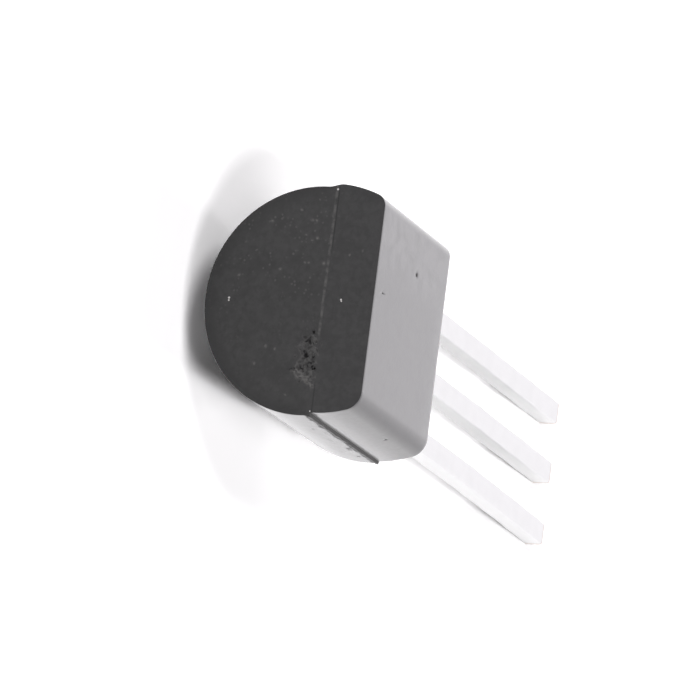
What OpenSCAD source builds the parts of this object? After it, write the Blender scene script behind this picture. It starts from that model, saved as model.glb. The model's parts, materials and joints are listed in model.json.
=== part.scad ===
// Small three-lead transistor in a moulded epoxy package, lying as it comes to rest:
// round back down, flat face up, the rim of its base and its three lead tips on the floor.
//
// Every piece is drawn in the package's own frame, and at_rest() lays the whole thing down:
//   x  across the row of leads
//   y  from the closed end of the moulding (y = 0) towards the lead tips
//   z  out of the flat face; z = 0 is the parting plane of the mould
// Lengths are in millimetres, angles in degrees.

/* [Moulded body] */
// Diameter of the round back
body_dia = 4.58; // [4.3:0.01:5.2]
// Height of the body, measured along the leads at the parting plane
body_height = 4.6; // [4.3:0.05:5.4]
// How far the flat face stands in front of the parting plane
flat_offset = 0.98; // [0.8:0.02:1.4]
// How far the centre of the rear half's round lies behind the parting plane
arc_offset = 0.22; // [0.1:0.02:0.6]
// Radius that blends the flat face into its -x side
left_corner = 0.25; // [0.1:0.05:0.5]
// Radius that blends the flat face into its +x side
right_corner = 0.4; // [0.1:0.05:0.5]
// Draft that lets both end faces leave the mould
end_draft = 4; // [1:0.5:7]
// Mismatch of the two mould halves: the front half is cast this much towards -x
mould_shift = 0.065; // [0:0.005:0.1]

/* [Marks of the mould] */
// How far the trimmed flash stands out of each side of the rear half
flash_reach = 0.035; // [0:0.005:0.08]
// Thickness of the flash, behind the parting plane
flash_thick = 0.06; // [0.02:0.01:0.1]
// Diameter of the ejector pin that met the round back
ejector_dia = 1.5; // [0.8:0.1:1.8]
// Depth of the ejector's flat below the crest of the round back
ejector_depth = 0.08; // [0.04:0.01:0.12]
// Length of the scar where the gate broke off the closed end
gate_length = 1; // [0.6:0.1:1.4]
// Thickness of the gate, behind the parting plane
gate_thick = 0.4; // [0.2:0.05:0.6]
// Depth of the gate's scar
gate_depth = 0.05; // [0.02:0.01:0.1]
// Distance of the gate's middle from the middle of the body
gate_x = 1.15; // [0:0.05:1.3]

/* [Leads] */
// Width of a lead
lead_width = 0.45; // [0.38:0.01:0.55]
// Thickness of the lead frame sheet
lead_thick = 0.4; // [0.35:0.01:0.5]
// Pitch of the leads
lead_pitch = 1.27; // [1.2:0.01:1.5]
// Length of the leads outside the body
lead_length = 11.7; // [5:0.1:14.5]
// Width of a lead's shoulder, inside the body and just outside it
shoulder_width = 0.62; // [0.56:0.01:0.7]
// Length of the shoulder outside the body
shoulder_length = 1.5; // [0.8:0.1:2.5]
// How far the cut tie bar still stands out of each side of the shoulder
stub_reach = 0.06; // [0.02:0.01:0.1]
// Length of the cut tie bar along the lead
stub_length = 0.35; // [0.2:0.05:0.5]
// Bevel left on the front edge of each tip by the cropping blade
tip_bevel = 0.1; // [0:0.02:0.2]

/* [Lead frame inside] */
// Distance from the closed end to the die paddle
paddle_top = 1; // [0.7:0.05:1.2]
// Length of the die paddle
paddle_length = 1.5; // [1:0.05:1.8]
// Corner chamfer of the paddle and posts
frame_chamfer = 0.12; // [0.05:0.01:0.15]
// Distance from the closed end to the bond posts
post_top = 1.3; // [0.9:0.05:1.5]
// Width of a bond post
post_width = 0.75; // [0.65:0.05:0.8]
// Length of a bond post
post_length = 0.75; // [0.5:0.05:1]
// Gap stamped between the paddle and each outer lead
stamping_gap = 0.25; // [0.2:0.01:0.3]
// Radius of the notches that key each lead into the epoxy
notch_radius = 0.11; // [0.06:0.01:0.14]
// Distance of the notches from the base of the body
notch_depth = 0.7; // [0.4:0.05:1]

/* [Die] */
// Side of the square silicon die
die_side = 0.5; // [0.3:0.05:0.8]
// Thickness of the die
die_thick = 0.2; // [0.1:0.01:0.25]
// Thickness of the solder under the die
attach_thick = 0.03; // [0.02:0.005:0.05]
// How far the solder spreads past the die
attach_margin = 0.05; // [0.02:0.01:0.1]

/* [Bond wires] */
// Diameter of a gold bond wire
wire_dia = 0.025; // [0.02:0.005:0.05]
// Height that a loop rises above the die
loop_height = 0.25; // [0.15:0.05:0.4]
// Diameter of the ball welded to the die
ball_dia = 0.075; // [0.06:0.005:0.12]
// Diameter of the flattened weld on the post
weld_dia = 0.11; // [0.08:0.01:0.15]
// Distance of each bond pad from the middle of the die
pad_offset = 0.12; // [0.08:0.01:0.14]

/* [Hidden] */

body_r = body_dia / 2;
back_depth = body_r + arc_offset;
draft_slope = tan(end_draft);
parting_half_width = sqrt(pow(body_r, 2) - pow(arc_offset, 2));

// The leads lie in the rear half of the mould, with their front faces in the parting plane.
lead_tip_y = body_height + lead_length;

// The paddle fills the room between the outer leads, each post's inner edge runs on from its
// lead's, and the die sits in the middle of the paddle.
lead_inner_x = lead_pitch - shoulder_width / 2;
paddle_width = 2 * (lead_inner_x - stamping_gap);
post_x = lead_inner_x + post_width / 2;
post_y = post_top + post_length / 2;
die_y = paddle_top + paddle_length / 2;
die_top_z = attach_thick + die_thick;

// A ball and a weld are thick enough to hold the whole end of the wire.
bond_thick = wire_dia * 1.4;

// Bond wires are swept as rings of a few sides.
wire_sides = 8;
wire_rings = 18;

// Circles that stay true curves are drawn with this many segments.
round_fn = 96;

// Cutters and long blocks overshoot what they meet by this much.
over = 1;

// The rim of the base carries the round back, and the rear edges of the tips carry the leads.
rim_y = body_height - back_depth * draft_slope;
rest_tilt = atan((back_depth - lead_thick) / (lead_tip_y - rim_y));
rest_lift = rim_y * sin(rest_tilt) + back_depth * cos(rest_tilt);

// Middle of the laid-down model, so that its origin is at the middle of its footprint.
near_y = back_depth * (draft_slope * cos(rest_tilt) - sin(rest_tilt));
far_y = lead_tip_y * cos(rest_tilt) - tip_bevel * sin(rest_tilt);
middle_y = (near_y + far_y) / 2;
flash_edge = parting_half_width + flash_reach;
right_reach = max(body_r, flash_edge);
left_reach = max(body_r + mould_shift, flash_edge);
middle_x = (right_reach - left_reach) / 2;

// Laying the package down

module at_rest() {
    translate([-middle_x, -middle_y, rest_lift])
        rotate([-rest_tilt, 0, 0])
            children();
}

// Moulded body

// Section of the rear half in the x-z plane. The centre of its round lies behind the parting plane.
module rear_section() {
    intersection() {
        translate([0, -arc_offset])
            circle(body_r, $fn = round_fn);
        translate([-body_r - over, -back_depth - over])
            square([2 * (body_r + over), back_depth + over]);
    }
    translate([-flash_edge, -flash_thick])
        square([2 * flash_edge, flash_thick]);
}

// Centre of the circle that blends the flat into the round side with this radius.
function blend_centre(radius) =
    let (z = flat_offset - radius)
        [sqrt(pow(body_r - radius, 2) - pow(z, 2)), z];

// Section of the front half: its round is centred on the parting plane, and it ends in the flat.
module front_section() {
    difference() {
        intersection() {
            circle(body_r, $fn = round_fn);
            translate([-body_r - over, 0])
                square([2 * (body_r + over), flat_offset]);
        }
        scale([-1, 1])
            corner_scrap(left_corner);
        corner_scrap(right_corner);
    }
}

// What a blend of this radius takes off the sharp corner at +x: the wedge between the radii to
// where it touches the round side and the flat, less the blend's own circle.
module corner_scrap(radius) {
    reach = 3 * radius;
    centre = blend_centre(radius);
    angle = atan2(centre[1], centre[0]);
    middle = (90 + angle) / 2;
    translate(centre)
        difference() {
            polygon([[0, 0],
                     reach * [cos(angle), sin(angle)],
                     reach * [cos(middle), sin(middle)],
                     reach * [0, 1]]);
            circle(radius, $fn = round_fn);
        }
}

module body_section() {
    rear_section();
    translate([-mould_shift, 0])
        front_section();
}

// Side view of the drafted ends, in the y-z plane: both end faces slope back from the parting plane.
module draft_side_view() {
    levels = [-back_depth - over, 0, flat_offset + over];
    polygon([for (z = levels) [abs(z) * draft_slope, z],
             for (i = [2:-1:0]) [body_height - abs(levels[i]) * draft_slope, levels[i]]]);
}

module body_block() {
    intersection() {
        translate([0, body_height + over, 0])
            rotate([90, 0, 0])
                linear_extrude(body_height + 2 * over)
                    body_section();
        translate([-body_r - over, 0, 0])
            rotate([90, 0, 90])
                linear_extrude(2 * (body_r + over))
                    draft_side_view();
    }
}

// Pin that leaves a flat on the crest of the round back.
module ejector_pin() {
    translate([0, body_height / 2, -back_depth - over])
        cylinder(h = over + ejector_depth, d = ejector_dia, $fn = round_fn);
}

// Scar of the gate: a slot with round ends just behind the parting plane.
module gate_scar() {
    floor_y = gate_depth + gate_thick / 2 * draft_slope;
    end_shift = (gate_length - gate_thick) / 2;
    translate([gate_x, floor_y, -gate_thick / 2])
        rotate([90, 0, 0])
            linear_extrude(over) {
                square([2 * end_shift, gate_thick], center = true);
                for (side = [-1, 1])
                    translate([side * end_shift, 0])
                        circle(d = gate_thick, $fn = round_fn);
            }
}

// Everything that the epoxy is cast around.
module inserts() {
    collector_solid();
    outer_lead_solid(-1);
    outer_lead_solid(1);
    attach_solid();
    die_solid();
    bond_wire(-1);
    bond_wire(1);
}

module case() {
    color([0.17, 0.17, 0.18])
        at_rest()
            difference() {
                body_block();
                ejector_pin();
                gate_scar();
                inserts();
            }
}

// Lead frame, stamped from one sheet and cut apart after moulding

// Rectangle with chamfered corners; top_y is its edge nearest the closed end.
module stamped_plate(width, length, top_y) {
    half = width / 2;
    inner = half - frame_chamfer;
    polygon([[-inner, top_y], [inner, top_y],
             [half, top_y + frame_chamfer], [half, top_y + length - frame_chamfer],
             [inner, top_y + length], [-inner, top_y + length],
             [-half, top_y + length - frame_chamfer], [-half, top_y + frame_chamfer]]);
}

module strip(width, from_y, to_y) {
    translate([-width / 2, from_y])
        square([width, to_y - from_y]);
}

// One lead from the height where it leaves its plate down to its tip.
module lead_outline(from_y) {
    shoulder_end = body_height + shoulder_length;
    difference() {
        strip(shoulder_width, from_y, shoulder_end);
        for (side = [-1, 1])
            translate([side * shoulder_width / 2, body_height - notch_depth])
                circle(notch_radius, $fn = round_fn);
    }
    strip(shoulder_width + 2 * stub_reach, shoulder_end - stub_length, shoulder_end);
    strip(lead_width, shoulder_end - stub_length, lead_tip_y);
}

// Gives a flat outline the thickness of the sheet and crops the front edge of its tip at x.
module stamped(x) {
    difference() {
        translate([0, 0, -lead_thick])
            linear_extrude(lead_thick)
                children();
        translate([x - lead_width, lead_tip_y - tip_bevel, 0])
            rotate([-45, 0, 0])
                cube([2 * lead_width, over, over]);
    }
}

module collector_solid() {
    stamped(0) {
        stamped_plate(paddle_width, paddle_length, paddle_top);
        lead_outline(paddle_top + paddle_length - frame_chamfer);
    }
}

// side is -1 for the emitter and 1 for the base.
module outer_lead_solid(side) {
    stamped(side * lead_pitch) {
        translate([side * post_x, 0])
            stamped_plate(post_width, post_length, post_top);
        translate([side * lead_pitch, 0])
            lead_outline(post_top + post_length - frame_chamfer);
    }
}

module collector_lead() {
    color([0.72, 0.71, 0.69])
        at_rest()
            collector_solid();
}

module emitter_lead() {
    color([0.72, 0.71, 0.69])
        at_rest()
            outer_lead_solid(-1);
}

module base_lead() {
    color([0.72, 0.71, 0.69])
        at_rest()
            outer_lead_solid(1);
}

// Die and the solder that holds it to the paddle

module centred_block(side, thick, from_z) {
    translate([-side / 2, die_y - side / 2, from_z])
        cube([side, side, thick]);
}

module attach_solid() {
    centred_block(die_side + 2 * attach_margin, attach_thick, 0);
}

module die_solid() {
    centred_block(die_side, die_thick, attach_thick);
}

module die_attach() {
    color([0.6, 0.6, 0.62])
        at_rest()
            attach_solid();
}

module die() {
    color([0.35, 0.36, 0.42])
        at_rest()
            die_solid();
}

// Bond wires

// Point and direction of a cubic Bezier curve at t, from 0 to 1.
function curve_point(p, t) =
    pow(1 - t, 3) * p[0] + 3 * pow(1 - t, 2) * t * p[1] + 3 * (1 - t) * t * t * p[2] + pow(t, 3) * p[3];
function curve_direction(p, t) =
    pow(1 - t, 2) * (p[1] - p[0]) + 2 * (1 - t) * t * (p[2] - p[1]) + t * t * (p[3] - p[2]);

function unit(v) = v / norm(v);

// Ring of points round the wire at t. The loop stays in one upright plane, whose normal is across.
function wire_ring(p, across, t) =
    let (along = unit(curve_direction(p, t)), up = cross(across, along))
        [for (i = [0:wire_sides - 1])
            let (a = 360 * (i + 0.5) / wire_sides)
                curve_point(p, t) + wire_dia / 2 * (cos(a) * across + sin(a) * up)];

// Closed tube through equal rings, with flat ends.
module ring_tube(rings) {
    last = len(rings) - 1;
    points = [for (ring = rings) each ring];
    walls = [for (r = [0:last - 1], i = [0:wire_sides - 1])
                let (j = (i + 1) % wire_sides, low = r * wire_sides, high = low + wire_sides)
                    [low + i, high + i, high + j, low + j]];
    near_end = [for (i = [0:wire_sides - 1]) i];
    far_end = [for (i = [wire_sides - 1:-1:0]) last * wire_sides + i];
    polyhedron(points, concat(walls, [near_end, far_end]));
}

// Loop of wire from a ball on the die to a weld on a post; side is -1 or 1.
module bond_wire(side) {
    start = [side * pad_offset, die_y, die_top_z + bond_thick / 2];
    end = [side * post_x, post_y, bond_thick / 2];
    reach = [end.x - start.x, end.y - start.y, 0];
    across = unit(cross([0, 0, 1], reach));
    loop = [start,
            start + [0, 0, loop_height * 4 / 3],
            start + reach * 0.6 + [0, 0, loop_height * 4 / 3],
            end];
    ring_tube([for (i = [0:wire_rings]) wire_ring(loop, across, i / wire_rings)]);
    translate([start.x, start.y, die_top_z])
        cylinder(h = bond_thick, d = ball_dia, $fn = round_fn);
    translate([end.x, end.y, 0])
        cylinder(h = bond_thick, d = weld_dia, $fn = round_fn);
}

module emitter_wire() {
    color([0.85, 0.65, 0.2])
        at_rest()
            bond_wire(-1);
}

module base_wire() {
    color([0.85, 0.65, 0.2])
        at_rest()
            bond_wire(1);
}

case();
collector_lead();
emitter_lead();
base_lead();
die();
die_attach();
emitter_wire();
base_wire();
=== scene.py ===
# %% [markdown]
# # A small transistor, lying on its back
#
# The solids of the part come in as a fixed frame, in metres. This script measures them, and then
# gives every surface that can be seen the shape and the finish of the real one.

# %% Load the solids
import json
import math

import bpy
import numpy as np
from mathutils import Matrix, Vector


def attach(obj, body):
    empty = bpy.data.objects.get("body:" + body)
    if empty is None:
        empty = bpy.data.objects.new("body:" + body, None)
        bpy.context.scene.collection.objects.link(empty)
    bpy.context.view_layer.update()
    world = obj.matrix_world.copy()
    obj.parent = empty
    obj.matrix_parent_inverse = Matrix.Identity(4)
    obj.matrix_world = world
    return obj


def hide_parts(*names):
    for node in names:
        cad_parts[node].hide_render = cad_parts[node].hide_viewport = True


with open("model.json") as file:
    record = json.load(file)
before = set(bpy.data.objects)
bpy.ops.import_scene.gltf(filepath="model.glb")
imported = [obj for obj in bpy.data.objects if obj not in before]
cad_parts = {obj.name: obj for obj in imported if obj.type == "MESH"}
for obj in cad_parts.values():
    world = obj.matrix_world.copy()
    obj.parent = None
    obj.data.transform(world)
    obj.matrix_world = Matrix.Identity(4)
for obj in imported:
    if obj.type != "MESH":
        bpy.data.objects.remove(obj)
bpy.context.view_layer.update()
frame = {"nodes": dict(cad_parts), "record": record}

MM = 0.001
print("solids:", sorted(frame["nodes"]))

# %% [markdown]
# ## The package's own directions
#
# The part lies tilted, because its round back and its lead tips touch the floor. Its shapes are easy
# only in its own directions: x across the row of leads, y from the closed end towards the tips, and z
# out of the flat face, with z = 0 on the parting plane of the mould. The record's mounts give these
# directions. So every shape below is worked out in millimetres in that frame, and turned once.

# %% Read the package frame from the mounts and the solids
mounts = {mount["name"]: mount for mount in frame["record"]["mounts"]}
OUT_OF_FLAT = np.array(mounts["flat"]["axis"])
ALONG = np.array(mounts["base"]["axis"])
ACROSS = np.cross(ALONG, OUT_OF_FLAT)
AXES = np.stack([ACROSS, ALONG, OUT_OF_FLAT])


def turned_points(solid):
    """All corners of a solid, turned to the package's directions, in millimetres."""
    mesh = frame["nodes"][solid].data
    flat = np.empty(len(mesh.vertices) * 3)
    mesh.vertices.foreach_get("co", flat)
    return flat.reshape(-1, 3) @ AXES.T / MM


LEAD_THICK = np.ptp(turned_points("collector_lead")[:, 2])
BASE_POINT = AXES @ np.array(mounts["base"]["pos_m"]) / MM
CLOSED_END = turned_points("case")[:, 1].min()
ORIGIN = np.array([BASE_POINT[0], CLOSED_END, BASE_POINT[2] + LEAD_THICK / 2])
ORIGIN_M = ORIGIN @ AXES * MM
rest_tilt = math.degrees(math.atan2(OUT_OF_FLAT[1], OUT_OF_FLAT[2]))
print(f"rest tilt {rest_tilt:.2f} degrees")


def package_points(solid):
    """All corners of a solid in the package frame: turned, and measured from its origin."""
    return turned_points(solid) - ORIGIN


def to_row(points):
    """Package millimetres to metres in the shared frame."""
    return (np.asarray(points) + ORIGIN) @ AXES * MM


# %% [markdown]
# ## Sizes, measured on the solids
#
# A circle through the corners on the round back gives its radius and its centre: each corner obeys
# x^2 + z^2 = 2 a x + 2 b z + k, which is linear in a, b and k, so least squares finds all three.
# Only skin between the flash and the ejector's mark takes part. The other sizes are plain extents.

# %% Measure the moulded body
def fit_circle(x, z):
    """Centre and radius of the circle nearest to the points, by linear least squares."""
    system = np.stack([2 * x, 2 * z, np.ones_like(x)], axis=1)
    a, b, k = np.linalg.lstsq(system, x**2 + z**2, rcond=None)[0]
    return a, b, math.sqrt(k + a * a + b * b)


# Corners nearer to the middle than this belong to the hollow for the lead frame.
SKIN_INSIDE = 2.0
BACK_FROM, BACK_TO = -2.2, -0.3
NEAR = 0.001
case = package_points("case")
on_skin = np.hypot(case[:, 0], case[:, 2]) > SKIN_INSIDE
on_back = on_skin & (case[:, 2] > BACK_FROM) & (case[:, 2] < BACK_TO)
_, ARC_Z, BODY_R = fit_circle(case[on_back, 0], case[on_back, 2])
BODY_HEIGHT = np.ptp(case[:, 1])
FLAT_Z = case[:, 2].max()
DRAFT = case[case[:, 2] > FLAT_Z - NEAR, 1].min() / FLAT_Z
PARTING_HALF = math.sqrt(BODY_R**2 - ARC_Z**2)
MOULD_SHIFT = -case[:, 0].min() - BODY_R
FLASH_REACH = case[:, 0].max() - PARTING_HALF
print(f"round back {BODY_R:.3f} mm about z = {ARC_Z:.3f}, height {BODY_HEIGHT:.3f}, flat at {FLAT_Z:.3f}")
print(f"draft slope {DRAFT:.4f}, mould mismatch {MOULD_SHIFT:.3f}, flash {FLASH_REACH:.3f}")

# %% [markdown]
# ## From a grid of points to a mesh
#
# Every new piece is a grid: one direction runs round its section, the other along it. Such a grid
# becomes a closed mesh with one function: it joins neighbours into quads, closes the section on
# itself, and shuts both ends with a fan of triangles. foreach_set fills the mesh in one go.

# %% A closed tube from a grid of rings
def tube_mesh(name, rings, attributes):
    """Mesh through rings[station, around, xyz] in package millimetres, closed round and at both ends.
    Each attribute has one value for each grid point, and the end points take their ring's mean."""
    stations, around, _ = rings.shape
    ends = np.stack([rings[0].mean(axis=0), rings[-1].mean(axis=0)])
    points = to_row(np.concatenate([rings.reshape(-1, 3), ends]))
    index = np.arange(stations * around).reshape(stations, around)
    ahead = np.roll(index, -1, axis=1)
    quads = np.stack([index[:-1], index[1:], ahead[1:], ahead[:-1]], axis=-1).reshape(-1, 4)
    first, last = stations * around, stations * around + 1
    near_fan = np.stack([np.full(around, first), index[0], ahead[0]], axis=-1)
    far_fan = np.stack([np.full(around, last), ahead[-1], index[-1]], axis=-1)
    corners = np.concatenate([quads.ravel(), near_fan.ravel(), far_fan.ravel()])
    sizes = np.concatenate([np.full(len(quads), 4), np.full(2 * around, 3)])
    mesh = bpy.data.meshes.new(name)
    mesh.vertices.add(len(points))
    mesh.vertices.foreach_set("co", points.ravel())
    mesh.loops.add(len(corners))
    mesh.loops.foreach_set("vertex_index", corners)
    mesh.polygons.add(len(sizes))
    mesh.polygons.foreach_set("loop_start", np.cumsum(sizes) - sizes)
    mesh.update(calc_edges=True)
    mesh.polygons.foreach_set("use_smooth", np.ones(len(sizes), dtype=bool))
    for label, values in attributes.items():
        layer = mesh.attributes.new(label, "FLOAT", "POINT")
        both_ends = [values[0].mean(), values[-1].mean()]
        layer.data.foreach_set("value", np.concatenate([values.ravel(), both_ends]))
    mesh.validate()
    piece = bpy.data.objects.new(name, mesh)
    bpy.context.scene.collection.objects.link(piece)
    print(f"{name}: {len(points)} points, {len(mesh.polygons)} faces")
    return piece


# %% [markdown]
# ## Roughness from a sum of waves
#
# Torn epoxy is rough at sizes of about a tenth of a millimetre, and the flash and the leads wander
# over longer ones. A sum of sine waves in seeded directions gives a smooth random surface of one
# size, and it gives the same one every run.

# %% Seeded noise, soft steps and soft dots
def waves(x, y, size, seed, count=24):
    """Sum of sines in random directions, with lengths near size, scaled so that its mean square is 1."""
    random = np.random.default_rng(seed)
    angle = random.uniform(0, 2 * np.pi, count)
    rate = 2 * np.pi / (size * random.uniform(0.7, 1.6, count))
    phase = random.uniform(0, 2 * np.pi, count)
    total = np.zeros(np.broadcast(x, y).shape)
    for a, k, p in zip(angle, rate, phase):
        total += np.sin(k * (np.cos(a) * x + np.sin(a) * y) + p)
    return total * math.sqrt(2 / count)


def smooth_step(value, low, high):
    """0 below low, 1 above high, and an S-shaped rise between them: t^2 (3 - 2 t)."""
    t = np.clip((value - low) / (high - low), 0, 1)
    return t * t * (3 - 2 * t)


def scattered(x, z, places, radius):
    """Soft dots at the given places: the largest of their bell curves."""
    dots = [np.exp(-((x - px) ** 2 + (z - pz) ** 2) / (2 * (radius * size) ** 2)) for px, pz, size in places]
    return np.max(dots, axis=0)


# %% [markdown]
# ## The outline of the body
#
# Seen from the closed end, the body is a D. Two mould halves meet at z = 0, and they never meet
# exactly: the front half sits a little towards -x. On that side the halves run into each other in a
# soft bump, and on the other the rear half stands proud with a crisp ledge.
#
# The outline is star-shaped about the middle of the parting plane, so one function of the angle gives
# it: how far the skin lies from that middle. Each stretch is where a ray meets a circle or a line.

# %% Outline as a distance at each angle
# Blends between the flat and the round sides: side and radius.
CORNERS = [(-1, 0.25), (1, 0.4)]
LEDGE_SOFT = 0.012
BUMP_FROM, BUMP_TO = -0.2, 0.12
# A ray that climbs less than this never reaches the flat.
LOW_RAY = 0.05
NO_LIMIT = 1e3


def ray_to_circle(angle, centre_x, centre_z, radius):
    """Distance at which a ray from the middle leaves a circle: p.e + sqrt(r^2 - p^2 + (p.e)^2)."""
    along_ray = centre_x * np.cos(angle) + centre_z * np.sin(angle)
    inside = radius**2 - centre_x**2 - centre_z**2 + along_ray**2
    return along_ray + np.sqrt(np.maximum(inside, 0))


def outline(angle):
    """Distance of the skin from the middle of the parting plane, at each angle from +x towards +z.
    The rear is one circle. The front is the nearer of a circle and the flat, with two small circles
    as blends, and a smooth step in z leads from the rear to the front."""
    rear = ray_to_circle(angle, 0, ARC_Z, BODY_R)
    arc = ray_to_circle(angle, -MOULD_SHIFT, 0, BODY_R)
    level = np.sin(angle)
    flat = np.where(level > LOW_RAY, FLAT_Z / np.maximum(level, LOW_RAY), NO_LIMIT)
    front = np.minimum(arc, flat)
    for side, radius in CORNERS:
        blend_z = FLAT_Z - radius
        blend_x = side * math.sqrt((BODY_R - radius) ** 2 - blend_z**2)
        blend = ray_to_circle(angle, blend_x - MOULD_SHIFT, blend_z, radius)
        touch_flat = math.atan2(FLAT_Z, blend_x - MOULD_SHIFT)
        share = BODY_R / (BODY_R - radius)
        touch_arc = math.atan2(share * blend_z, share * blend_x - MOULD_SHIFT)
        low, high = sorted((touch_flat, touch_arc))
        front = np.where((angle > low) & (angle < high), blend, front)
    on_left = np.cos(angle) < 0
    in_front = smooth_step(BODY_R * level, np.where(on_left, BUMP_FROM, -LEDGE_SOFT),
                           np.where(on_left, BUMP_TO, LEDGE_SOFT))
    return rear + (front - rear) * in_front


# %% [markdown]
# ## Where the grid needs its points
#
# An even grid would waste its points on plain skin. So the angles are drawn from a density: it is 1
# everywhere, with a bell curve on top at each ledge, each corner blend and each bubble on the flat.
# Its running total, divided evenly, gives angles that crowd where there is something to show.

# %% Sample the outline
# Open bubbles in the skin: angle from +x in degrees, y and relative size. The first two are on the flat.
BUBBLES = [(140, 2.55, 1.25), (109.5, 0.6, 0.8), (17.5, 2.85, 1.3), (15, 3.55, 0.7), (6, 1.65, 0.6),
           (-9.5, 2.2, 0.7), (-9.5, 2.95, 0.7), (-6, 3.25, 0.9), (-8, 2.4, 0.6), (-7, 3.05, 0.6),
           (-75, 0.9, 1.0), (-120, 3.7, 0.8), (-140, 1.4, 1.1), (-48, 2.9, 0.8), (-167, 2.3, 0.7)]
# Of these, only bubbles on the flat lie at more than 90 degrees.
ON_FLAT = 90
AROUND = 480
FINE_STEPS = 20001
LEDGE_INSET = 0.03
LEDGE_SPAN = 0.06
CORNER_X, CORNER_DROP = 2.0, 0.1
CORNER_TURN, BUBBLE_TURN = 0.09, 0.03
LEDGE_CROWD, SHAPE_CROWD = 20, 5


def crowded_places():
    """Where the skin has small shapes: angle, width of the bell curve in radians, and its height."""
    ledges = [(ledge - LEDGE_INSET * math.cos(ledge) / BODY_R, LEDGE_SPAN / BODY_R, LEDGE_CROWD)
              for ledge in (0, math.pi)]
    corners = [(math.atan2(FLAT_Z - CORNER_DROP, CORNER_X * side), CORNER_TURN, SHAPE_CROWD)
               for side, _ in CORNERS]
    bubbles = [(math.radians(angle), BUBBLE_TURN, SHAPE_CROWD) for angle, _, _ in BUBBLES if angle > ON_FLAT]
    return ledges + corners + bubbles


def sample_angles(count):
    """Angles from -90 degrees, all the way round, at even steps of the density's running total."""
    fine = np.linspace(-np.pi / 2, 1.5 * np.pi, FINE_STEPS)
    density = np.ones_like(fine)
    for centre, width, height in crowded_places():
        density += height * np.exp(-(((fine - centre) / width) ** 2))
    total = np.concatenate([[0], np.cumsum((density[1:] + density[:-1]) / 2)])
    return np.interp(np.arange(count) / count * total[-1], total, fine)


angles = sample_angles(AROUND)
reach = outline(angles)
section_x = reach * np.cos(angles)
section_z = reach * np.sin(angles)
print(f"outline: {section_x.min():.3f} to {section_x.max():.3f} across, depth {np.ptp(section_z):.3f} mm")

# %% [markdown]
# ## The closed end
#
# Both end faces have draft. They lean back from the parting plane, y = slope * |z|, or the mould
# could not let go of them. The epoxy entered through a gate in the closed end, and where the gate
# broke off it left a ragged scar just behind the parting plane, with holes torn in it and a thin
# ridge left standing. Sculpting would do, but soft dots at chosen places are easier to move about.

# %% Relief of the closed end
RIDGE_SOFT = 0.02
GATE_X = 1.15
GATE_LENGTH = 1.0
GATE_THICK = 0.4
GATE_DEPTH = 0.03
SCAR_RAGGED = 0.05
SCAR_INNER, SCAR_OUTER = 0.11, 0.24
# Holes torn in the scar: x, z and relative size.
GATE_HOLES = [(0.62, -0.12, 0.9), (0.74, -0.2, 0.9), (0.8, -0.25, 1.5), (0.86, -0.14, 0.7),
              (1.0, -0.3, 0.8), (1.09, -0.24, 1.4), (1.12, -0.08, 0.8), (1.22, -0.14, 0.8),
              (1.36, -0.3, 1.3), (1.37, -0.48, 0.8), (1.33, -0.06, 1.0), (1.28, -0.2, 0.7)]
HOLE_R = 0.035
HOLE_DEPTH = 0.05
HOLE_BEND = 0.018
# The ridge that was left standing at the scar's outer end: x, z and relative size.
GATE_RIDGE = [(1.42, -0.42, 1.0), (1.48, -0.34, 1.1), (1.53, -0.25, 1.0), (1.58, -0.16, 1.0),
              (1.64, -0.08, 1.0), (1.7, -0.03, 0.8)]
GATE_RIDGE_R = 0.045
GATE_RIDGE_HEIGHT = 0.02
print(f"gate scar {GATE_LENGTH} x {GATE_THICK} mm, with {len(GATE_HOLES)} torn holes")


def drafted(z):
    """How far an end face lies behind the parting line's end: slope * |z|, with a rounded ridge."""
    return DRAFT * (np.sqrt(z**2 + RIDGE_SOFT**2) - RIDGE_SOFT)


def gate_mask(x, z):
    """1 inside the gate's scar, a slot with round ends, and 0 outside; its rim is ragged."""
    end_shift = (GATE_LENGTH - GATE_THICK) / 2
    beyond = np.maximum(np.abs(x - GATE_X) - end_shift, 0)
    distance = np.hypot(beyond, z + GATE_THICK / 2) + SCAR_RAGGED * waves(x, z, 0.14, seed=4)
    return 1 - smooth_step(distance, SCAR_INNER, SCAR_OUTER)


def closed_end_relief(x, z):
    """Depth of the marks in the closed end, and masks of its torn places, its holes and its ridge.
    The depth is scar * (0.3 + 0.5 rough) + holes - ridge, each with a depth of its own."""
    scar = gate_mask(x, z)
    rough = 0.5 + 0.5 * waves(x, z, 0.09, seed=7)
    bent_x = x + HOLE_BEND * waves(x, z, 0.09, seed=11)
    bent_z = z + HOLE_BEND * waves(x, z, 0.09, seed=12)
    holes = scattered(bent_x, bent_z, GATE_HOLES, HOLE_R)
    broken_up = np.clip(0.5 + 0.6 * waves(x, z, 0.07, seed=9), 0, 1)
    ridge = scattered(x, z, GATE_RIDGE, GATE_RIDGE_R) * broken_up
    depth = GATE_DEPTH * scar * (0.3 + 0.5 * rough) + HOLE_DEPTH * holes - GATE_RIDGE_HEIGHT * ridge
    torn = np.clip(scar * (0.3 + 0.7 * rough), 0, 1)
    return depth, torn, holes, ridge


# %% [markdown]
# ## The side: flash and swell
#
# The flash is a thin rib just behind the parting plane, where epoxy crept between the mould halves.
# It broke off unevenly, so its height wanders along y. On the +x side, the front half swells towards
# the parting line until it meets the flash. Both are changes of the skin's distance from the middle,
# given by a mask across the line times a height along it.

# %% Flash and swell
FLASH_THICK = 0.06
FLASH_MEAN = 0.8
FLASH_LEAST = 0.1
SWELL = 0.018
SWELL_START = 0.8
SWELL_GROWTH = 0.001
SWELL_WIDTH = 0.5
print(f"flash up to {FLASH_REACH:.3f} mm, swell up to {SWELL + SWELL_GROWTH * BODY_HEIGHT:.3f} mm")


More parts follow.
